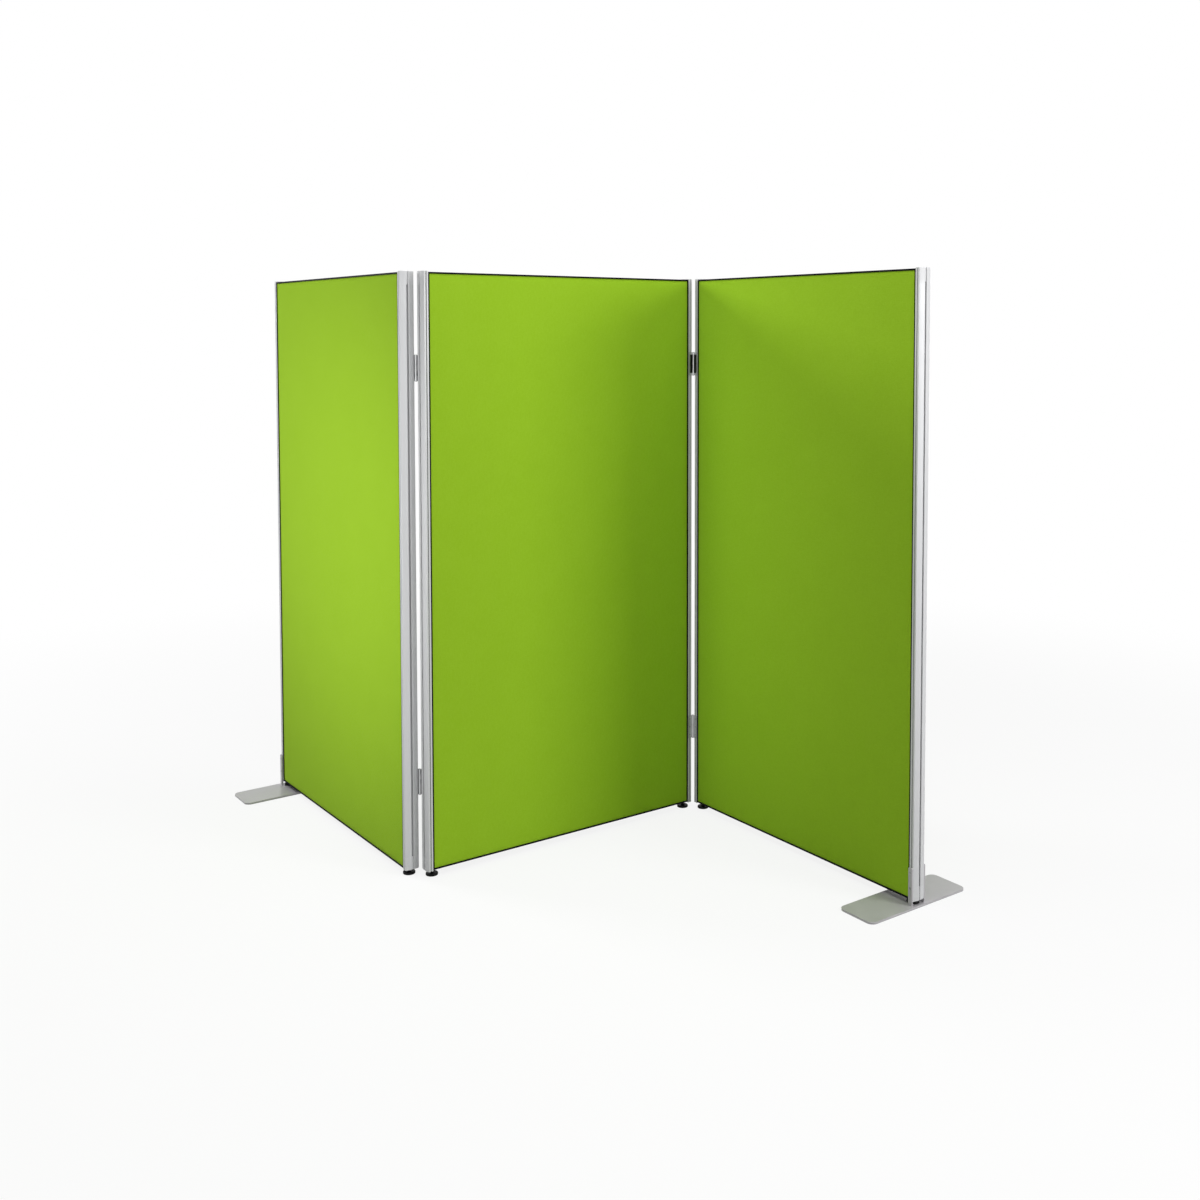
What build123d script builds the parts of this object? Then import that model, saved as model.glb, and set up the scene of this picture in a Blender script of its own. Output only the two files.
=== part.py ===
from build123d import *
import os

os.makedirs("parts", exist_ok=True)

# A free-standing folding screen of three fabric panels, in millimetres.
# Origin: on the floor, under the centre of the middle panel. +X runs along the middle
# panel to its right end, +Z is up. The left panel stands at a right angle towards +Y and
# the right panel at a right angle towards -Y, so the screen is a Z in plan.

# ---------------------------------------------------------------- driving dimensions
PANEL_WIDTH = 1000.0
SCREEN_HEIGHT = 1800.0
FLOOR_GAP = 18.0
THICKNESS = 45.0

# upright: a visible strip with a rounded nose, and a square tube hidden in the panel's edge
POST_DEPTH = 18.0
NOSE_RISE = 4.5
POST_CORNER_RADIUS = 1.0
SIDE_GROOVE_WIDTH = 3.6
SIDE_GROOVE_DEPTH = 4.0
SIDE_GROOVE_INSET = 6.7
SLOT_WIDTH = 6.0
SLOT_LIP = 2.5
SLOT_CHAMBER_WIDTH = 12.0
SLOT_CHAMBER_DEPTH = 4.5
TUBE_WIDTH = 28.0
TUBE_DEPTH = 28.5
TUBE_WALL = 2.2
SPINE_CHAMBER_DEPTH = 4.0
SIDE_CHAMBER_DEPTH = 8.6
SIDE_CHAMBER_WIDTH = 8.0
SIDE_CHAMBER_CENTRE = 12.2

# end caps
CAP_HEIGHT = 40.0
CAP_EDGE_CHAMFER = 0.4
PLUG_LENGTH = 20.0
PLUG_PLAY = 0.2

# infill: core board, two fabrics, and black edge profiles all round
CORE_THICKNESS = 36.4
CORE_PLAY = 0.2
FABRIC_THICKNESS = 2.0
PROFILE_WALL = 1.2
PROFILE_PLAY = 0.1
EDGE_TRIM_COVER = 5.0
EDGE_TRIM_WEB = 1.5
RAIL_HEIGHT = 5.2
RAIL_WEB = 2.0
RAIL_RECESS = 3.0

# levelling feet
LEVELLER_INSET = 24.5
LEVELLER_DISC_RADIUS = 18.5
LEVELLER_DISC_HEIGHT = 7.0
LEVELLER_TOP_RADIUS = 2.5
LEVELLER_FOOT_RADIUS = 1.0
LEVELLER_COLLAR_RADIUS = 7.0
LEVELLER_COLLAR_HEIGHT = 2.5
LEVELLER_STEM_RADIUS = 4.0
LEVELLER_STEM_TOP = 66.0
THREAD_PLAY = 0.05
INSERT_RADIUS = 6.9
INSERT_HEIGHT = 26.0
STEM_HOLE_RADIUS = 5.0

# hinges: butt hinges on the inner faces of the folded screen
HINGE_HEIGHT = 77.0
HINGE_CENTRES = (280.0, 1516.0)
PIVOT_PAST_CORNER = 5.0
PIVOT_PROUD = 2.4
KNUCKLE_RADIUS = 3.2
KNUCKLE_COUNT = 5
KNUCKLE_GAP = 0.3
PIN_RADIUS = 1.8
PIN_HEAD_RADIUS = 2.9
PIN_HEAD_HEIGHT = 1.2
LEAF_THICKNESS = 1.4
LEAF_START = 0.7
COVER_HEIGHT = 62.0
COVER_WIDTH = 9.4
COVER_THICKNESS = 0.8
COVER_CORNER_RADIUS = 1.0
HINGE_SCREW_PITCH = 27.0
HINGE_SCREW_RADIUS = 1.5
HINGE_SCREW_HEAD_RADIUS = 2.8
HINGE_SCREW_SOCKET_RADIUS = 1.2

# screws: how far they sink below a face, reach into a groove, and clear their holes
SCREW_SUNK = 0.05
SCREW_REACH = 3.6
SCREW_PLAY = 0.1

# feet under the two free ends
FOOT_LENGTH = 390.0
FOOT_WIDTH = 130.0
FOOT_THICKNESS = 6.0
FOOT_CORNER_RADIUS = 20.0
FOOT_PAST_NOSE = 4.6
FOOT_EDGE_CHAMFER = 0.6
LUG_TOP = 115.0
LUG_WIDTH = 13.5
LUG_THICKNESS = 5.0
LUG_CORNER_RADIUS = 3.0
LUG_SCREW_HEIGHTS = (56.0, 101.0)
FOOT_SCREW_RADIUS = 1.7
FOOT_SCREW_HEAD_RADIUS = 3.8
FOOT_SCREW_SOCKET_RADIUS = 1.8

# ---------------------------------------------------------------- worked out from those
half_width = PANEL_WIDTH / 2
half_thickness = THICKNESS / 2
panel_edge = half_width - POST_DEPTH
post_corner = half_width - NOSE_RISE
post_bottom = FLOOR_GAP + CAP_HEIGHT
post_top = SCREEN_HEIGHT - CAP_HEIGHT
rail_bottom = FLOOR_GAP + RAIL_RECESS
rail_top = SCREEN_HEIGHT - RAIL_RECESS
core_bottom = rail_bottom + RAIL_WEB
core_top = rail_top - RAIL_WEB
fabric_face = CORE_THICKNESS / 2 + FABRIC_THICKNESS
profile_inner = fabric_face + PROFILE_PLAY
profile_outer = profile_inner + PROFILE_WALL
groove_centre = panel_edge + SIDE_GROOVE_INSET
leveller_place = half_width - LEVELLER_INSET
tube_centre = panel_edge - TUBE_DEPTH / 2
tube_inner_depth = TUBE_DEPTH - 2 * TUBE_WALL
tube_inner_width = TUBE_WIDTH - 2 * TUBE_WALL
pivot_x = post_corner + PIVOT_PAST_CORNER
pivot_y = half_thickness + PIVOT_PROUD
panel_offset = pivot_x + pivot_y
leaf_face = half_thickness + LEAF_THICKNESS
lug_face = half_thickness + LUG_THICKNESS

RIGHT = (1, 0, 0)
LEFT = (-1, 0, 0)
AWAY = (0, 1, 0)
NEAR = (0, -1, 0)
UP = (0, 0, 1)


def upright_plane(x, y, direction):
    """A floor plane at x, y whose own x axis runs along a panel in the given direction."""
    return Plane(origin=(x, y, 0), x_dir=direction, z_dir=UP)


def face_plane(end, side, along, height, out):
    """A plane parallel to a panel's face, at a distance out from its middle."""
    origin = end.from_local_coords((along, side * out, height))
    return Plane(origin=origin, x_dir=end.x_dir, z_dir=end.y_dir * side)


# Each panel has its own plane, and one more for each end that looks outwards along it.
panels = {
    "left": upright_plane(-panel_offset, panel_offset, AWAY),
    "middle": upright_plane(0, 0, RIGHT),
    "right": upright_plane(panel_offset, -panel_offset, NEAR),
}
ends = {
    "left_hinged": upright_plane(-panel_offset, panel_offset, NEAR),
    "left_free": upright_plane(-panel_offset, panel_offset, AWAY),
    "middle_left": upright_plane(0, 0, LEFT),
    "middle_right": upright_plane(0, 0, RIGHT),
    "right_hinged": upright_plane(panel_offset, -panel_offset, AWAY),
    "right_free": upright_plane(panel_offset, -panel_offset, NEAR),
}
panel_ends = {
    "left": ("left_hinged", "left_free"),
    "middle": ("middle_left", "middle_right"),
    "right": ("right_hinged", "right_free"),
}


def save(piece, name):
    """Label a finished piece and write it as one STEP file."""
    piece.label = name
    export_step(piece, f"parts/{name}.step")


# ---------------------------------------------------------------- upright section
def visible_strip(slot_depth):
    """The strip of an upright that shows: rounded nose, one slot in it, a groove each side."""
    with BuildSketch() as strip:
        with BuildLine():
            Polyline(
                (post_corner, half_thickness),
                (panel_edge, half_thickness),
                (panel_edge, -half_thickness),
                (post_corner, -half_thickness),
            )
            ThreePointArc((post_corner, -half_thickness), (half_width, 0), (post_corner, half_thickness))
        make_face()
        fillet(strip.vertices().group_by(Axis.X)[-1], POST_CORNER_RADIUS)
        with Locations((half_width, 0)):
            Rectangle(2 * slot_depth, SLOT_WIDTH, mode=Mode.SUBTRACT)
        with GridLocations(1, THICKNESS, 1, 2):
            with Locations((groove_centre, 0)):
                Rectangle(SIDE_GROOVE_WIDTH, 2 * SIDE_GROOVE_DEPTH, mode=Mode.SUBTRACT)
    return strip.sketch


def tube_block():
    """The square outline of the tube that is hidden in the panel's edge."""
    with BuildSketch() as block:
        with Locations((tube_centre, 0)):
            Rectangle(TUBE_DEPTH, TUBE_WIDTH)
    return block.sketch


def post_section():
    """The whole extruded section: strip, hidden tube, T-slot and lightening chambers."""
    slot_inner = half_width - SLOT_LIP - SLOT_CHAMBER_DEPTH
    strip_inner = panel_edge + TUBE_WALL
    with BuildSketch() as section:
        add(visible_strip(SLOT_LIP + 1))
        add(tube_block())
        with Locations((slot_inner + SLOT_CHAMBER_DEPTH / 2, 0)):
            Rectangle(SLOT_CHAMBER_DEPTH, SLOT_CHAMBER_WIDTH, mode=Mode.SUBTRACT)
        with Locations((tube_centre, 0)):
            Rectangle(tube_inner_depth, tube_inner_width, mode=Mode.SUBTRACT)
        with Locations((strip_inner + SPINE_CHAMBER_DEPTH / 2, 0)):
            Rectangle(SPINE_CHAMBER_DEPTH, SLOT_CHAMBER_WIDTH, mode=Mode.SUBTRACT)
        with Locations((strip_inner + SIDE_CHAMBER_DEPTH / 2, 0)):
            with GridLocations(1, 2 * SIDE_CHAMBER_CENTRE, 1, 2):
                Rectangle(SIDE_CHAMBER_DEPTH, SIDE_CHAMBER_WIDTH, mode=Mode.SUBTRACT)
    return section.sketch


def make_upright(end, name):
    with BuildPart() as upright:
        with BuildSketch(end.offset(post_bottom)):
            add(post_section())
        extrude(amount=post_top - post_bottom)
    save(upright.part, name)


for end_name, end in ends.items():
    make_upright(end, f"{end_name}_upright")


# ---------------------------------------------------------------- end caps
def make_caps(panel_name, position):
    """Both moulded caps at the top or the bottom of a panel's uprights."""
    at_top = position == "top"
    strip_base = post_top if at_top else FLOOR_GAP
    block_base = post_top if at_top else core_bottom
    block_height = core_top - post_top if at_top else post_bottom - core_bottom
    plug_base = post_top - PLUG_LENGTH if at_top else post_bottom
    with BuildPart() as caps:
        for end_name in panel_ends[panel_name]:
            end = ends[end_name]
            with BuildSketch(end.offset(strip_base)):
                add(visible_strip(SLOT_LIP))
            extrude(amount=CAP_HEIGHT)
            with BuildSketch(end.offset(block_base)):
                add(tube_block())
            extrude(amount=block_height)
            with BuildSketch(end.offset(plug_base)):
                with Locations((tube_centre, 0)):
                    Rectangle(tube_inner_depth - 2 * PLUG_PLAY, tube_inner_width - 2 * PLUG_PLAY)
            extrude(amount=PLUG_LENGTH)
            if not at_top:
                with BuildSketch(end.offset(core_bottom)):
                    with Locations((leveller_place, 0)):
                        Circle(INSERT_RADIUS)
                extrude(amount=INSERT_HEIGHT, mode=Mode.SUBTRACT)
                with BuildSketch(end.offset(core_bottom + INSERT_HEIGHT)):
                    with Locations((leveller_place, 0)):
                        Circle(STEM_HOLE_RADIUS)
                extrude(amount=post_bottom + PLUG_LENGTH - core_bottom, mode=Mode.SUBTRACT)
        rim_height = SCREEN_HEIGHT if at_top else FLOOR_GAP
        rim = caps.edges().filter_by_position(Axis.Z, rim_height - 0.01, rim_height + 0.01)
        chamfer(rim, CAP_EDGE_CHAMFER)
    save(caps.part, f"{panel_name}_caps_{position}")


for panel_name in panels:
    make_caps(panel_name, "top")
    make_caps(panel_name, "bottom")


# ---------------------------------------------------------------- infill
def make_core(panel_name):
    """The board between the fabrics, grooved at both ends for the uprights' tubes."""
    length = 2 * (panel_edge - EDGE_TRIM_WEB - PROFILE_PLAY)
    groove_depth = TUBE_DEPTH + CORE_PLAY
    with BuildPart() as core:
        with BuildSketch(panels[panel_name].offset(core_bottom)):
            Rectangle(length, CORE_THICKNESS)
            with GridLocations(2 * panel_edge - groove_depth, 1, 2, 1):
                Rectangle(groove_depth, TUBE_WIDTH + 2 * CORE_PLAY, mode=Mode.SUBTRACT)
        extrude(amount=core_top - core_bottom)
    save(core.part, f"{panel_name}_core")


def make_fabric(panel_name, face, side):
    """The cloth on one face of a panel, on its thin backing."""
    length = 2 * (panel_edge - EDGE_TRIM_WEB - PROFILE_PLAY)
    with BuildPart() as fabric:
        with BuildSketch(panels[panel_name].offset(core_bottom)):
            with Locations((0, side * (fabric_face - FABRIC_THICKNESS / 2))):
                Rectangle(length, FABRIC_THICKNESS)
        extrude(amount=core_top - core_bottom)
    save(fabric.part, f"{panel_name}_fabric_{face}")


def make_edge_trims(panel_name):
    """Four black angle strips that close the fabric's upright edges against the uprights."""
    cover_centre = panel_edge - EDGE_TRIM_COVER / 2
    web_centre = panel_edge - EDGE_TRIM_WEB / 2
    wall_centre = profile_outer - PROFILE_WALL / 2
    web_inner = TUBE_WIDTH / 2 + CORE_PLAY
    length = rail_top - rail_bottom - 2 * RAIL_HEIGHT - 2 * PROFILE_PLAY
    with BuildPart() as trims:
        with BuildSketch(panels[panel_name].offset(rail_bottom + RAIL_HEIGHT + PROFILE_PLAY)):
            with GridLocations(2 * cover_centre, 2 * wall_centre, 2, 2):
                Rectangle(EDGE_TRIM_COVER, PROFILE_WALL)
            with GridLocations(2 * web_centre, web_inner + profile_inner, 2, 2):
                Rectangle(EDGE_TRIM_WEB, profile_inner - web_inner)
        extrude(amount=length)
    save(trims.part, f"{panel_name}_edge_trims")


def make_rail(panel_name, position):
    """The black channel over the top or the bottom edge of the board and its fabrics."""
    panel = panels[panel_name]
    at_top = position == "top"
    web_side = rail_top if at_top else rail_bottom
    open_side = rail_top - RAIL_HEIGHT if at_top else rail_bottom + RAIL_HEIGHT
    web_inner = rail_top - RAIL_WEB if at_top else rail_bottom + RAIL_WEB
    length = 2 * (panel_edge - PROFILE_PLAY)
    start = Plane(
        origin=panel.from_local_coords((-length / 2, 0, 0)),
        x_dir=panel.y_dir,
        z_dir=panel.x_dir,
    )
    with BuildPart() as rail:
        with BuildSketch(start):
            with BuildLine():
                Polyline(
                    (-profile_outer, web_side),
                    (profile_outer, web_side),
                    (profile_outer, open_side),
                    (profile_inner, open_side),
                    (profile_inner, web_inner),
                    (-profile_inner, web_inner),
                    (-profile_inner, open_side),
                    (-profile_outer, open_side),
                    close=True,
                )
            make_face()
        extrude(amount=length)
        if not at_top:
            with BuildSketch(panel.offset(rail_bottom)):
                with GridLocations(2 * leveller_place, 1, 2, 1):
                    Circle(LEVELLER_COLLAR_RADIUS - 1)
            extrude(amount=RAIL_WEB, mode=Mode.SUBTRACT)
    save(rail.part, f"{panel_name}_rail_{position}")


front_sides = {"left": 1, "middle": -1, "right": -1}
for panel_name, front in front_sides.items():
    make_core(panel_name)
    make_fabric(panel_name, "front", front)
    make_fabric(panel_name, "back", -front)
    make_edge_trims(panel_name)
    make_rail(panel_name, "top")
    make_rail(panel_name, "bottom")


# ---------------------------------------------------------------- levelling feet
def make_inserts(panel_name):
    """The two threaded sleeves in a panel's bottom caps."""
    with BuildPart() as inserts:
        with BuildSketch(panels[panel_name].offset(core_bottom)):
            with GridLocations(2 * leveller_place, 1, 2, 1):
                Circle(INSERT_RADIUS)
                Circle(LEVELLER_STEM_RADIUS + THREAD_PLAY, mode=Mode.SUBTRACT)
        extrude(amount=INSERT_HEIGHT)
    save(inserts.part, f"{panel_name}_threaded_inserts")


def make_leveller(end_name, base):
    """A nylon disc, collar and threaded stem in one piece, standing at height base."""
    centre = ends[end_name].from_local_coords((leveller_place, 0, base))
    collar_base = LEVELLER_DISC_HEIGHT
    stem_base = collar_base + LEVELLER_COLLAR_HEIGHT
    with BuildPart() as leveller:
        with BuildSketch(Plane(centre)):
            Circle(LEVELLER_DISC_RADIUS)
        extrude(amount=LEVELLER_DISC_HEIGHT)
        fillet(leveller.edges().filter_by(GeomType.CIRCLE).group_by(Axis.Z)[-1], LEVELLER_TOP_RADIUS)
        fillet(leveller.edges().filter_by(GeomType.CIRCLE).group_by(Axis.Z)[0], LEVELLER_FOOT_RADIUS)
        with BuildSketch(Plane(centre).offset(collar_base)):
            RegularPolygon(LEVELLER_COLLAR_RADIUS, 6)
        extrude(amount=LEVELLER_COLLAR_HEIGHT)
        with BuildSketch(Plane(centre).offset(stem_base)):
            Circle(LEVELLER_STEM_RADIUS)
        extrude(amount=LEVELLER_STEM_TOP - base - stem_base)
        chamfer(leveller.edges().group_by(Axis.Z)[-1], LEVELLER_FOOT_RADIUS)
    save(leveller.part, f"{end_name}_leveller")


for panel_name in panels:
    make_inserts(panel_name)
for end_name in ends:
    make_leveller(end_name, FOOT_THICKNESS if end_name.endswith("free") else 0)


# ---------------------------------------------------------------- hinges
def knuckle_spans(first):
    """Bottom heights of every second knuckle, counted from the one named first."""
    pitch = HINGE_HEIGHT / KNUCKLE_COUNT
    return [-HINGE_HEIGHT / 2 + pitch * index for index in range(first, KNUCKLE_COUNT, 2)]


def screw_planes(end, side, centre, out):
    """The planes on a leaf's face where its three screws go in."""
    heights = [centre + step * HINGE_SCREW_PITCH for step in (-1, 0, 1)]
    return [face_plane(end, side, groove_centre, height, out) for height in heights]


def make_leaf(end_name, side, first, centre, name):
    """One leaf: a plate on the upright's face with its knuckles beyond the corner."""
    end = ends[end_name]
    plate_start = panel_edge + LEAF_START
    plate_end = pivot_x - KNUCKLE_RADIUS - KNUCKLE_GAP
    knuckle_height = HINGE_HEIGHT / KNUCKLE_COUNT
    with BuildPart() as leaf:
        with BuildSketch(end.offset(centre - HINGE_HEIGHT / 2)):
            with Locations(((plate_start + plate_end) / 2, side * (half_thickness + LEAF_THICKNESS / 2))):
                Rectangle(plate_end - plate_start, LEAF_THICKNESS)
        extrude(amount=HINGE_HEIGHT)
        for span in knuckle_spans(first):
            bottom = centre + span + KNUCKLE_GAP / 2
            with BuildSketch(end.offset(bottom)):
                with Locations((pivot_x, side * pivot_y)):
                    Circle(KNUCKLE_RADIUS)
                with Locations(((plate_end + pivot_x) / 2, side * (half_thickness + LEAF_THICKNESS / 2))):
                    Rectangle(pivot_x - plate_end, LEAF_THICKNESS)
            extrude(amount=knuckle_height - KNUCKLE_GAP)
        with BuildSketch(end.offset(centre - HINGE_HEIGHT / 2)):
            with Locations((pivot_x, side * pivot_y)):
                Circle(PIN_RADIUS + THREAD_PLAY)
        extrude(amount=HINGE_HEIGHT, mode=Mode.SUBTRACT)
        with Locations(*screw_planes(end, side, centre, leaf_face)):
            CounterSinkHole(
                radius=HINGE_SCREW_RADIUS + SCREW_PLAY,
                counter_sink_radius=HINGE_SCREW_HEAD_RADIUS + SCREW_PLAY,
            )
    save(leaf.part, name)


# On each joint the middle panel's leaf has the outer knuckles, and the pin stays in it.
joints = {
    "left_joint": (("middle_left", -1, 0), ("left_hinged", 1, 1)),
    "right_joint": (("middle_right", -1, 0), ("right_hinged", 1, 1)),
}
hinge_names = ("lower", "upper")
for joint_name, leaves in joints.items():
    for end_name, side, first in leaves:
        owner = end_name.split("_")[0]
        for hinge_name, centre in zip(hinge_names, HINGE_CENTRES):
            make_leaf(end_name, side, first, centre, f"{joint_name}_{hinge_name}_leaf_{owner}")


def leaf_ends(owner):
    """The ends, with the side of the panel, where one panel carries hinge leaves."""
    every_leaf = [leaf for leaves in joints.values() for leaf in leaves]
    return [(ends[name], side) for name, side, _ in every_leaf if name.startswith(owner)]


def make_covers(owner):
    """The black strips over the screws of one panel's upper hinge leaves."""
    cover_centre = pivot_x - KNUCKLE_RADIUS - KNUCKLE_GAP - COVER_WIDTH / 2
    with BuildPart() as covers:
        for end, side in leaf_ends(owner):
            with BuildSketch(face_plane(end, side, cover_centre, HINGE_CENTRES[1], leaf_face)):
                RectangleRounded(COVER_WIDTH, COVER_HEIGHT, COVER_CORNER_RADIUS)
            extrude(amount=COVER_THICKNESS)
    save(covers.part, f"{owner}_hinge_covers")


def countersunk_screw(head_radius, shank_radius, length, socket_radius):
    """A countersunk screw, head up at height zero, with a hexagon socket."""
    head_height = head_radius - shank_radius
    with BuildPart() as screw:
        with BuildSketch():
            Circle(head_radius)
        with BuildSketch(Plane.XY.offset(-head_height)):
            Circle(shank_radius)
        loft()
        with BuildSketch():
            Circle(shank_radius)
        extrude(amount=-length)
        with BuildSketch():
            RegularPolygon(socket_radius, 6)
        extrude(amount=-head_height / 2, mode=Mode.SUBTRACT)
    return screw.part


def make_hinge_screws(owner):
    """All screws that hold one panel's hinge leaves."""
    screw = countersunk_screw(
        HINGE_SCREW_HEAD_RADIUS,
        HINGE_SCREW_RADIUS,
        LEAF_THICKNESS + SCREW_REACH,
        HINGE_SCREW_SOCKET_RADIUS,
    )
    with BuildPart() as screws:
        for end, side in leaf_ends(owner):
            for centre in HINGE_CENTRES:
                with Locations(*screw_planes(end, side, centre, leaf_face - SCREW_SUNK)):
                    add(screw)
    save(screws.part, f"{owner}_hinge_screws")


for panel_name in panels:
    make_covers(panel_name)
    make_hinge_screws(panel_name)

with BuildPart() as hinge_pins:
    for end_name in ("middle_left", "middle_right"):
        axis_point = ends[end_name].from_local_coords((pivot_x, -pivot_y, 0))
        for centre in HINGE_CENTRES:
            base = Plane(axis_point).offset(centre - HINGE_HEIGHT / 2)
            with BuildSketch(base):
                Circle(PIN_RADIUS)
            extrude(amount=HINGE_HEIGHT)
            with BuildSketch(base, base.offset(HINGE_HEIGHT + PIN_HEAD_HEIGHT)):
                Circle(PIN_HEAD_RADIUS)
            extrude(amount=-PIN_HEAD_HEIGHT)
save(hinge_pins.part, "hinge_pins")


# ---------------------------------------------------------------- feet under the free ends
def make_foot_plate(panel_name):
    end = ends[f"{panel_name}_free"]
    outer_edge = half_width + FOOT_PAST_NOSE
    with BuildPart() as plate:
        with BuildSketch(end):
            with Locations((outer_edge - FOOT_WIDTH / 2, 0)):
                RectangleRounded(FOOT_WIDTH, FOOT_LENGTH, FOOT_CORNER_RADIUS)
        extrude(amount=FOOT_THICKNESS)
        chamfer(plate.edges().group_by(Axis.Z)[-1], FOOT_EDGE_CHAMFER)
    save(plate.part, f"{panel_name}_foot_plate")


def lug_screw_planes(end, side, out):
    """The planes on a lug's face where its two screws go in."""
    return [face_plane(end, side, groove_centre, height, out) for height in LUG_SCREW_HEIGHTS]


def make_foot_lugs(panel_name):
    """The two flat lugs that stand on the plate and clasp the upright."""
    end = ends[f"{panel_name}_free"]
    lug_height = LUG_TOP - FOOT_THICKNESS
    lug_middle = FOOT_THICKNESS + lug_height / 2
    lug_centre = post_corner - LUG_WIDTH / 2
    with BuildPart() as lugs:
        for side in (-1, 1):
            inner = face_plane(end, side, lug_centre, lug_middle, half_thickness)
            with BuildSketch(inner):
                Rectangle(LUG_WIDTH, lug_height)
            extrude(amount=LUG_THICKNESS)
            with Locations(*lug_screw_planes(end, side, lug_face)):
                CounterSinkHole(
                    radius=FOOT_SCREW_RADIUS + SCREW_PLAY,
                    counter_sink_radius=FOOT_SCREW_HEAD_RADIUS + SCREW_PLAY,
                )
        across = Axis(end.origin, end.y_dir)
        fillet(lugs.edges().group_by(Axis.Z)[-1].filter_by(across), LUG_CORNER_RADIUS)
    save(lugs.part, f"{panel_name}_foot_lugs")


def make_foot_screws(panel_name):
    """Countersunk screws through the lugs into the upright's side grooves."""
    end = ends[f"{panel_name}_free"]
    screw = countersunk_screw(
        FOOT_SCREW_HEAD_RADIUS,
        FOOT_SCREW_RADIUS,
        LUG_THICKNESS + SCREW_REACH,
        FOOT_SCREW_SOCKET_RADIUS,
    )
    with BuildPart() as screws:
        for side in (-1, 1):
            with Locations(*lug_screw_planes(end, side, lug_face - SCREW_SUNK)):
                add(screw)
    save(screws.part, f"{panel_name}_foot_screws")


for panel_name in ("left", "right"):
    make_foot_plate(panel_name)
    make_foot_lugs(panel_name)
    make_foot_screws(panel_name)
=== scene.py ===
"""A free-standing folding screen of three green fabric panels: looks, light and camera.

All sizes are in metres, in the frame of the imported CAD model: +Z is up, the middle panel
runs along X, the left panel turns away from the camera and the right one towards it.
"""

import math

import bmesh
import bpy
from mathutils import Euler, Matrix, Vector


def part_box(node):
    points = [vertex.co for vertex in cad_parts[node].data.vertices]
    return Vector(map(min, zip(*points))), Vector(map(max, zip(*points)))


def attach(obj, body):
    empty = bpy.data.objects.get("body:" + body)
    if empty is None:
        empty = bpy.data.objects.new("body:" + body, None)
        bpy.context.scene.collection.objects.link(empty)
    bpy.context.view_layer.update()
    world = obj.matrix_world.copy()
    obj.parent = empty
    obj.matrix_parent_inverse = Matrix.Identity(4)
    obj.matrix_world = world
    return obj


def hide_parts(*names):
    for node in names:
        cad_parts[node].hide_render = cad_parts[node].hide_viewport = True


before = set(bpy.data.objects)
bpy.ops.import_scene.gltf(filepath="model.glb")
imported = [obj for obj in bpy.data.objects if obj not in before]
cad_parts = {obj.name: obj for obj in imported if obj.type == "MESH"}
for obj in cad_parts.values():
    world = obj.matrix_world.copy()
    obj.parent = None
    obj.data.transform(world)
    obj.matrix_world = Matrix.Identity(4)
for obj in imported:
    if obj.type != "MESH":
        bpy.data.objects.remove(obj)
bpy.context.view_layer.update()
scene = bpy.context.scene
MM = 0.001

PANELS = ("left", "middle", "right")
FACES = ("front", "back")

# ---------------------------------------------------------------- camera
CAMERA_PLACE = (-2.25, -3.498, 1.617)
CAMERA_YAW = 53.31  # degrees from +X towards +Y
CAMERA_PITCH = -2.97
CAMERA_LENS = 39.5
CAMERA_SHIFT = (-0.0455, -0.165)


def make_camera():
    data = bpy.data.cameras.new("camera")
    data.lens = CAMERA_LENS
    data.shift_x, data.shift_y = CAMERA_SHIFT
    camera = bpy.data.objects.new("camera", data)
    camera.location = CAMERA_PLACE
    camera.rotation_euler = Euler(
        (math.radians(90 + CAMERA_PITCH), 0, math.radians(CAMERA_YAW - 90))
    )
    scene.collection.objects.link(camera)
    scene.camera = camera


# ---------------------------------------------------------------- light and stage
# name: place, point it faces, width, height, watts
SOFTBOXES = {
    "key": ((1.85, -4.1, 2.1), (0.1, 0.0, 0.9), 1.2, 1.2, 77),
    "overhead": ((0.0, -0.8, 3.8), (0.0, -0.3, 0.9), 3.0, 3.0, 65),
    "front": ((-3.2, -4.2, 2.4), (0.0, 0.0, 0.9), 2.0, 2.0, 24),
    "behind": ((-2.2, 3.4, 3.2), (0.4, -0.7, 1.3), 1.2, 1.2, 90),
}
# a wide soft beam from the left, far enough off for the left panel to swing past it
BEAM_PLACE = (-2.4, 0.1, 1.05)
BEAM_TARGET = (-0.55, 0.42, 1.0)
BEAM_ANGLE = 70  # degrees across
BEAM_SOURCE_RADIUS = 0.3
BEAM_WATTS = 72
AMBIENT = 0.2  # the white room's own light on matt surfaces
FLOOR_RADIUS = 30.0
FLOOR_SEGMENTS = 96
FLOOR_ALBEDO = 0.45  # as other things are lit by it
PAPER_ALBEDO = 0.9  # as the camera sees its shadows
FLOOR_LIFT = (0.85, 1.0)  # share of plain white in the floor, near the screen and far off
FLOOR_FADE = (1.6, 4.5)  # metres from the middle over which it changes
WHITE = (1, 1, 1, 1)


def grey(level):
    return (level, level, level, 1)


def hang_light(data, place, target):
    light = bpy.data.objects.new(data.name, data)
    light.location = place
    direction = Vector(target) - Vector(place)
    light.rotation_euler = direction.to_track_quat("-Z", "Y").to_euler()
    light.visible_camera = False
    scene.collection.objects.link(light)


def make_softbox(name, place, target, width, height, watts):
    data = bpy.data.lights.new(name, "AREA")
    data.shape = "RECTANGLE"
    data.size = width
    data.size_y = height
    data.energy = watts
    hang_light(data, place, target)


def make_beam():
    data = bpy.data.lights.new("beam", "SPOT")
    data.spot_size = math.radians(BEAM_ANGLE)
    data.spot_blend = 1.0
    data.shadow_soft_size = BEAM_SOURCE_RADIUS
    data.energy = BEAM_WATTS
    hang_light(data, BEAM_PLACE, BEAM_TARGET)


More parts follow.
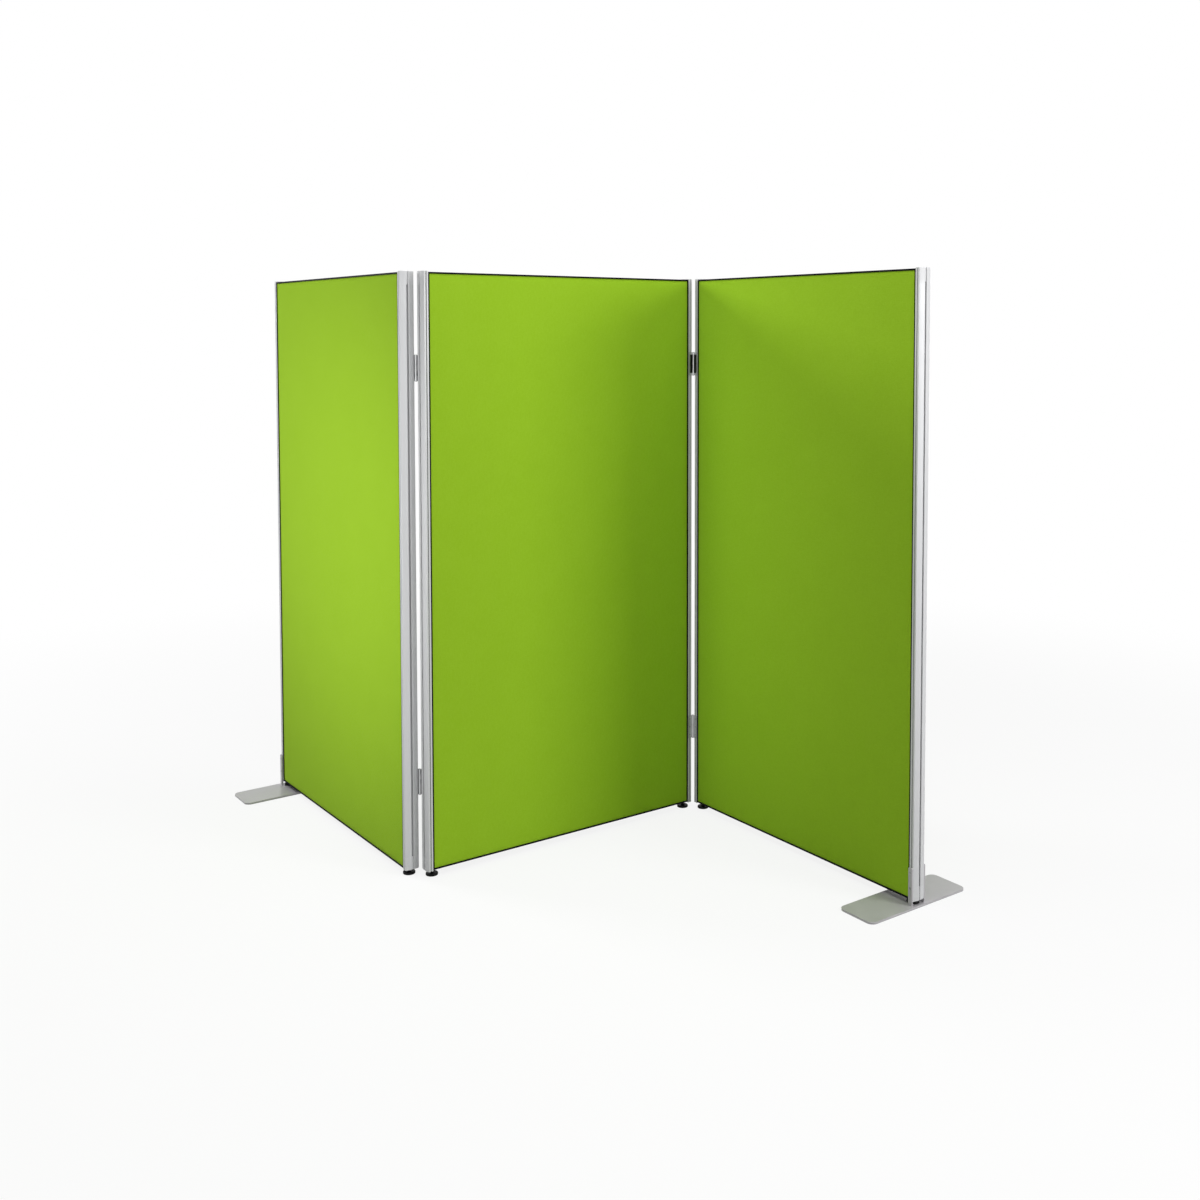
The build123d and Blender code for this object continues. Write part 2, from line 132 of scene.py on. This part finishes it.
def make_world():
    """A white room: plain white to look at and in reflections, dimmer on matt surfaces."""
    world = bpy.data.worlds.new("room")
    world.use_nodes = True
    scene.world = world
    nodes = Nodes(world.node_tree)
    white = nodes.add("ShaderNodeBackground", Color=WHITE, Strength=1.0)
    dim = nodes.add("ShaderNodeBackground", Color=WHITE, Strength=AMBIENT)
    mix = nodes.add("ShaderNodeMixShader")
    rays = nodes.add("ShaderNodeLightPath")
    nodes.join(rays.outputs["Is Diffuse Ray"], mix.inputs[0])
    nodes.join(white.outputs[0], mix.inputs[1])
    nodes.join(dim.outputs[0], mix.inputs[2])
    nodes.join(mix.outputs[0], nodes.add("ShaderNodeOutputWorld").inputs[0])


def make_floor():
    """A pale floor that keeps soft shadows near the screen and fades to white further off."""
    mesh = bpy.data.meshes.new("floor")
    form = bmesh.new()
    bmesh.ops.create_circle(
        form, cap_ends=True, segments=FLOOR_SEGMENTS, radius=FLOOR_RADIUS
    )
    form.to_mesh(mesh)
    form.free()
    floor = bpy.data.objects.new("floor", mesh)
    scene.collection.objects.link(floor)
    material = bpy.data.materials.new("floor")
    material.use_nodes = True
    mesh.materials.append(material)
    nodes = Nodes(material.node_tree)
    matt = nodes.add("ShaderNodeBsdfDiffuse", Color=grey(FLOOR_ALBEDO))
    paper = nodes.add("ShaderNodeBsdfDiffuse", Color=grey(PAPER_ALBEDO))
    white = nodes.add("ShaderNodeEmission", Color=WHITE, Strength=1.0)
    away = nodes.maths("LENGTH", nodes.position(), vector=True)
    lift = nodes.ramp_range(away, FLOOR_FADE, FLOOR_LIFT)
    seen = nodes.mix_shader(lift, paper, white)
    rays = nodes.add("ShaderNodeLightPath")
    whole = nodes.mix_shader(rays.outputs["Is Diffuse Ray"], seen, matt)
    nodes.join(whole, nodes.add("ShaderNodeOutputMaterial").inputs[0])


# ---------------------------------------------------------------- node helper
# the colour sockets of a mix node, whose float and vector ones have the same names
MIX_COLOUR_A, MIX_COLOUR_B, MIX_COLOUR_RESULT = 6, 7, 2
GROOVE_REACH = 4 * MM  # how near walls must be for the painted shade to darken a groove
GROOVE_SAMPLES = 6
GROOVE_OPENNESS = (0.15, 0.7)  # from shut in to open
PAINTED_SHADE_TONE = (0.22, 1.0)  # what the colour is multiplied by at those two, as painted shade


class Nodes:
    """Short names for building one node tree. Each method gives an output socket."""

    def __init__(self, tree):
        self.tree = tree
        tree.nodes.clear()

    def add(self, kind, **inputs):
        node = self.tree.nodes.new(kind)
        for name, value in inputs.items():
            node.inputs[name.replace("_", " ")].default_value = value
        return node

    def join(self, output, socket):
        if isinstance(output, bpy.types.Node):
            output = output.outputs[0]
        self.tree.links.new(output, socket)

    def position(self):
        """Where the point is on the piece at rest, in metres."""
        return self.add("ShaderNodeTexCoord").outputs["Object"]

    def maths(self, operation, first, second=None, vector=False):
        node = self.tree.nodes.new("ShaderNodeVectorMath" if vector else "ShaderNodeMath")
        node.operation = operation
        second_socket = node.inputs["Scale" if operation == "SCALE" else 1]
        for socket, value in ((node.inputs[0], first), (second_socket, second)):
            if isinstance(value, bpy.types.NodeSocket):
                self.join(value, socket)
            elif value is not None:
                socket.default_value = value
        gives_vector = vector and operation not in ("LENGTH", "DOT_PRODUCT")
        return node.outputs["Vector" if gives_vector else "Value"]

    def stretched(self, scale):
        """The position with each axis multiplied, for patterns that run one way."""
        return self.maths("MULTIPLY", self.position(), scale, vector=True)

    def noise(self, vector, scale=1.0, detail=2.0, roughness=0.5):
        node = self.add("ShaderNodeTexNoise", Scale=scale, Detail=detail, Roughness=roughness)
        self.join(vector, node.inputs["Vector"])
        return node.outputs[0]

    def ramp_range(self, value, source, target):
        node = self.add("ShaderNodeMapRange")
        node.interpolation_type = "SMOOTHSTEP"
        self.join(value, node.inputs["Value"])
        names = ("From Min", "From Max", "To Min", "To Max")
        for name, number in zip(names, (*source, *target)):
            node.inputs[name].default_value = number
        return node.outputs["Result"]

    def mix_colour(self, factor, first, second):
        node = self.tree.nodes.new("ShaderNodeMix")
        node.data_type = "RGBA"
        self.join(factor, node.inputs["Factor"])
        node.inputs[MIX_COLOUR_A].default_value = (*first, 1)
        node.inputs[MIX_COLOUR_B].default_value = (*second, 1)
        return node.outputs[MIX_COLOUR_RESULT]

    def painted_groove_shade(self, colour):
        """The colour, darker in narrow grooves and seams: shade painted in from ambient
        occlusion.
        """
        node = self.add("ShaderNodeAmbientOcclusion", Distance=GROOVE_REACH)
        node.samples = GROOVE_SAMPLES
        shade = self.ramp_range(node.outputs["AO"], GROOVE_OPENNESS, PAINTED_SHADE_TONE)
        return self.maths("SCALE", colour, shade, vector=True)

    def mix_shader(self, factor, first, second):
        node = self.tree.nodes.new("ShaderNodeMixShader")
        self.join(factor, node.inputs[0])
        self.join(first, node.inputs[1])
        self.join(second, node.inputs[2])
        return node.outputs[0]

    def bump(self, height, distance, strength=1.0, under=None):
        node = self.add("ShaderNodeBump", Strength=strength, Distance=distance)
        self.join(height, node.inputs["Height"])
        if under is not None:
            self.join(under, node.inputs["Normal"])
        return node.outputs[0]

    def surface(self, colour, roughness, normal, **plain):
        """A Principled surface. Patterns are linked, plain numbers go onto its sockets."""
        shader = self.add("ShaderNodeBsdfPrincipled", **plain)
        self.join(colour, shader.inputs["Base Color"])
        self.join(normal, shader.inputs["Normal"])
        if isinstance(roughness, bpy.types.NodeSocket):
            self.join(roughness, shader.inputs["Roughness"])
        else:
            shader.inputs["Roughness"].default_value = roughness
        self.join(shader, self.add("ShaderNodeOutputMaterial").inputs[0])


def material_nodes(name):
    material = bpy.data.materials.new(name)
    material.use_nodes = True
    return material, Nodes(material.node_tree)


# ---------------------------------------------------------------- materials
GREEN_DARK = (0.335, 0.588, 0.022)
GREEN_LIGHT = (0.375, 0.632, 0.032)
THREAD_PITCH = 1.1 * MM
THREAD_HEIGHT = 0.12 * MM
SLUBS_ALONG, SLUBS_ACROSS = 90, 900  # to the metre
WEAVE_SHARE = 0.12  # of the tone
CLOUD_SHARE = 0.35
ALUMINIUM_DARK = (0.66, 0.665, 0.675)
ALUMINIUM_LIGHT = (0.72, 0.725, 0.735)
DIE_LINE_HEIGHT = 0.03 * MM
COAT_DARK = (0.455, 0.443, 0.46)
COAT_LIGHT = (0.50, 0.487, 0.505)
FLECK_SHARE = 0.35
PEEL_HEIGHT = 0.02 * MM
BRUSH_HEIGHT = 0.02 * MM
BRASS_DARK = (0.62, 0.46, 0.20)
BRASS_LIGHT = (0.74, 0.57, 0.27)
BRASS_ROUGHNESS = 0.32
TURNING_HEIGHT = 0.02 * MM
BOARD_DARK = (0.34, 0.25, 0.15)
BOARD_LIGHT = (0.50, 0.39, 0.26)
BOARD_ROUGHNESS = 0.9
FIBRE_HEIGHT = 0.1 * MM


def green_cloth():
    """Plain-woven upholstery cloth: threads both ways, slubs along them, faint melange."""
    material, nodes = material_nodes("green_cloth_woven")
    turn = 2 * math.pi / THREAD_PITCH
    across = nodes.maths("DOT_PRODUCT", nodes.position(), (turn, turn, 0), vector=True)
    upward = nodes.maths("DOT_PRODUCT", nodes.position(), (0, 0, turn), vector=True)
    sines = nodes.maths("SINE", across), nodes.maths("SINE", upward)
    weave = nodes.maths("MULTIPLY", *sines)
    weft = nodes.noise(nodes.stretched((SLUBS_ALONG, SLUBS_ALONG, SLUBS_ACROSS)), detail=1.0)
    warp = nodes.noise(nodes.stretched((SLUBS_ACROSS, SLUBS_ACROSS, SLUBS_ALONG)), detail=1.0)
    slubs = nodes.maths("ADD", weft, warp)
    cloud = nodes.noise(nodes.position(), scale=9.0, detail=3.0)
    threads = nodes.maths("ADD", nodes.maths("MULTIPLY", weave, WEAVE_SHARE), slubs)
    tone = nodes.maths("ADD", nodes.maths("MULTIPLY", cloud, CLOUD_SHARE), threads)
    shade = nodes.ramp_range(tone, (0.75, 1.6), (0.0, 1.0))
    colour = nodes.mix_colour(shade, GREEN_DARK, GREEN_LIGHT)
    slub_bump = nodes.bump(slubs, THREAD_HEIGHT)
    normal = nodes.bump(weave, THREAD_HEIGHT, under=slub_bump)
    rough = nodes.ramp_range(slubs, (0.7, 1.3), (0.82, 0.92))
    nodes.surface(
        colour,
        rough,
        normal,
        Specular_IOR_Level=0.0,
        Sheen_Weight=0.12,
        Sheen_Roughness=0.45,
        Sheen_Tint=(0.9, 1.0, 0.55, 1),
    )
    return material


def extruded_aluminium():
    """Satin anodised aluminium with the fine lines that the extrusion die leaves."""
    material, nodes = material_nodes("aluminium_anodised_satin")
    lines = nodes.noise(nodes.stretched((1400, 1400, 1.5)), detail=3.0)
    bands = nodes.noise(nodes.stretched((160, 160, 0.8)), detail=2.0)
    marks = nodes.noise(nodes.position(), scale=14.0, detail=4.0)
    colour = nodes.mix_colour(bands, ALUMINIUM_DARK, ALUMINIUM_LIGHT)
    rough = nodes.ramp_range(nodes.maths("ADD", lines, marks), (0.6, 1.4), (0.45, 0.55))
    # painted shade: the colour is darkened in the grooves, where shade falls
    colour = nodes.painted_groove_shade(colour)
    normal = nodes.bump(lines, DIE_LINE_HEIGHT, strength=0.6)
    nodes.surface(colour, rough, normal, Metallic=0.12, Specular_IOR_Level=0.35)
    return material


def moulded_plastic(name, dark, light, grain_height, roughness, specular):
    """Injection-moulded plastic with a fine spark-eroded grain."""
    material, nodes = material_nodes(name)
    grain = nodes.noise(nodes.position(), scale=2200.0, detail=2.0)
    cloud = nodes.noise(nodes.position(), scale=35.0, detail=3.0)
    # painted shade: the colour is darkened in seams and hollows, where shade falls
    colour = nodes.painted_groove_shade(nodes.mix_colour(cloud, dark, light))
    rough = nodes.ramp_range(cloud, (0.3, 0.7), roughness)
    normal = nodes.bump(grain, grain_height)
    nodes.surface(colour, rough, normal, Specular_IOR_Level=specular)
    return material


def powder_coat():
    """Light grey powder coat: orange peel, a few rubbed and dusty places."""
    material, nodes = material_nodes("powder_coat_grey")
    peel = nodes.noise(nodes.position(), scale=620.0, detail=2.0)
    flecks = nodes.noise(nodes.position(), scale=1500.0, detail=1.0)
    cloud = nodes.noise(nodes.position(), scale=12.0, detail=5.0, roughness=0.6)
    tone = nodes.maths("ADD", nodes.maths("MULTIPLY", flecks, FLECK_SHARE), cloud)
    shade = nodes.ramp_range(tone, (0.45, 0.9), (0.0, 1.0))
    colour = nodes.mix_colour(shade, COAT_DARK, COAT_LIGHT)
    rough = nodes.ramp_range(cloud, (0.2, 0.8), (0.30, 0.36))
    nodes.surface(colour, rough, nodes.bump(peel, PEEL_HEIGHT), Specular_IOR_Level=0.85)
    return material


def brushed_steel(name, dark, light, roughness):
    """Plated steel, brushed lengthwise, with slightly darker stains."""
    material, nodes = material_nodes(name)
    brush = nodes.noise(nodes.stretched((1800, 1800, 60)), detail=3.0)
    stains = nodes.noise(nodes.position(), scale=60.0, detail=4.0)
    colour = nodes.mix_colour(stains, dark, light)
    rough = nodes.ramp_range(nodes.maths("ADD", brush, stains), (0.6, 1.4), roughness)
    nodes.surface(colour, rough, nodes.bump(brush, BRUSH_HEIGHT), Metallic=1.0)
    return material


def turned_brass():
    """Brass with the fine rings that the lathe leaves."""
    material, nodes = material_nodes("brass_turned")
    rings = nodes.noise(nodes.stretched((40, 40, 3000)), detail=2.0)
    colour = nodes.mix_colour(rings, BRASS_DARK, BRASS_LIGHT)
    nodes.surface(colour, BRASS_ROUGHNESS, nodes.bump(rings, TURNING_HEIGHT), Metallic=1.0)
    return material


def paper_board():
    """Grey-brown paper board, fibrous, the edge of a honeycomb core."""
    material, nodes = material_nodes("board_paper")
    fibres = nodes.noise(nodes.stretched((500, 500, 140)), detail=4.0)
    colour = nodes.mix_colour(fibres, BOARD_DARK, BOARD_LIGHT)
    normal = nodes.bump(fibres, FIBRE_HEIGHT)
    nodes.surface(colour, BOARD_ROUGHNESS, normal, Specular_IOR_Level=0.2)
    return material


def make_looks():
    """The new material for each of the record's material slots."""
    return {
        "green_cloth": green_cloth(),
        "anodised_aluminium": extruded_aluminium(),
        "grey_cap": moulded_plastic(
            "cap_grey",
            dark=(0.69, 0.695, 0.705),
            light=(0.74, 0.745, 0.755),
            grain_height=0.02 * MM,
            roughness=(0.4, 0.48),
            specular=0.4,
        ),
        "honeycomb_board": paper_board(),
        "black_profile": moulded_plastic(
            "profile_black",
            dark=(0.003, 0.003, 0.0035),
            light=(0.007, 0.007, 0.0075),
            grain_height=0.015 * MM,
            roughness=(0.5, 0.6),
            specular=0.04,
        ),
        "brass_insert": turned_brass(),
        "black_nylon": moulded_plastic(
            "nylon_black",
            dark=(0.004, 0.004, 0.0045),
            light=(0.009, 0.009, 0.0095),
            grain_height=0.03 * MM,
            roughness=(0.4, 0.5),
            specular=0.1,
        ),
        "hinge_metal": brushed_steel(
            "hinge_brushed",
            dark=(0.36, 0.365, 0.37),
            light=(0.62, 0.625, 0.63),
            roughness=(0.28, 0.42),
        ),
        "plated_steel": brushed_steel(
            "screw_plated",
            dark=(0.24, 0.245, 0.25),
            light=(0.38, 0.385, 0.39),
            roughness=(0.26, 0.38),
        ),
        "grey_powder_coat": powder_coat(),
    }


def dress_cad(looks):
    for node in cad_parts.values():
        for slot in node.material_slots:
            slot.material = looks[slot.material.name]


# ---------------------------------------------------------------- stretched cloth
EDGE_DIP = 0.9 * MM  # how far the cloth is pressed down where the profiles hold it
EDGE_ROLL = 14 * MM  # how far from the edge it takes to rise again
CROWN = 0.35 * MM  # how much it stands above the frame's plane further in
CROWN_REACH = 90 * MM
FINE_STEP = 2 * MM
COARSE_STEP = 24 * MM
SHARP_ANGLE = 50  # degrees between faces from which an edge stays sharp


def edge_stations(length):
    """Distances along one side: close together near both edges, wider in between."""
    near = [FINE_STEP * index for index in range(round(EDGE_ROLL / FINE_STEP) + 1)]
    inner = length - 2 * near[-1]
    count = round(inner / COARSE_STEP)
    middle = [near[-1] + inner * index / count for index in range(1, count)]
    return near + middle + [length - step for step in reversed(near)]


def smooth_rise(distance, reach):
    """0 at the edge and 1 from reach inwards, level at both ends."""
    share = min(max(distance / reach, 0), 1)
    return share * share * (3 - 2 * share)


def make_sheet(panel, face, look):
    """The cloth on one face: pressed down along its edges, flat against the board behind."""
    node = f"{panel}_fabric_{face}"
    low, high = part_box(node)
    core_low, core_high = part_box(f"{panel}_core")
    size = high - low
    thin = 0 if size.x < size.y else 1
    along = 1 - thin
    outward = 1 if (low + high)[thin] > (core_low + core_high)[thin] else -1
    front = high[thin] if outward > 0 else low[thin]
    back = low[thin] if outward > 0 else high[thin]
    widths = edge_stations(size[along])
    heights = edge_stations(size.z)

    def height_over_face(width, height):
        inside = min(width, size[along] - width, height, size.z - height)
        rise = smooth_rise(inside, EDGE_ROLL)
        return (rise - 1) * EDGE_DIP + smooth_rise(inside, CROWN_REACH) * CROWN

    def point(width, height, outer):
        place = Vector((0, 0, low.z + height))
        place[along] = low[along] + width
        place[thin] = front + outward * height_over_face(width, height) if outer else back
        return place

    form = bmesh.new()
    outer, inner = (
        [[form.verts.new(point(w, h, is_outer)) for w in widths] for h in heights]
        for is_outer in (True, False)
    )
    rows, columns = len(heights), len(widths)
    for layer in (outer, inner):
        for row in range(rows - 1):
            for column in range(columns - 1):
                form.faces.new(
                    (
                        layer[row][column],
                        layer[row][column + 1],
                        layer[row + 1][column + 1],
                        layer[row + 1][column],
                    )
                )
    rim = [(0, column) for column in range(columns)]
    rim += [(row, columns - 1) for row in range(1, rows)]
    rim += [(rows - 1, column) for column in reversed(range(columns - 1))]
    rim += [(row, 0) for row in reversed(range(1, rows - 1))]
    for (row, column), (next_row, next_column) in zip(rim, rim[1:] + rim[:1]):
        form.faces.new(
            (
                outer[row][column],
                outer[next_row][next_column],
                inner[next_row][next_column],
                inner[row][column],
            )
        )
    bmesh.ops.recalc_face_normals(form, faces=form.faces)
    mesh = bpy.data.meshes.new(f"{node}_cloth")
    form.to_mesh(mesh)
    form.free()
    for polygon in mesh.polygons:
        polygon.use_smooth = True
    mesh.set_sharp_from_angle(angle=math.radians(SHARP_ANGLE))
    mesh.materials.append(look)
    sheet = bpy.data.objects.new(f"{node}_cloth", mesh)
    scene.collection.objects.link(sheet)
    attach(sheet, f"{panel}_panel")
    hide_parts(node)


# ---------------------------------------------------------------- the scene
make_camera()
make_world()
make_floor()
for name, facts in SOFTBOXES.items():
    make_softbox(name, *facts)
make_beam()
scene.view_settings.view_transform = "Standard"

looks = make_looks()
for panel in PANELS:
    for face in FACES:
        make_sheet(panel, face, looks["green_cloth"])
dress_cad(looks)
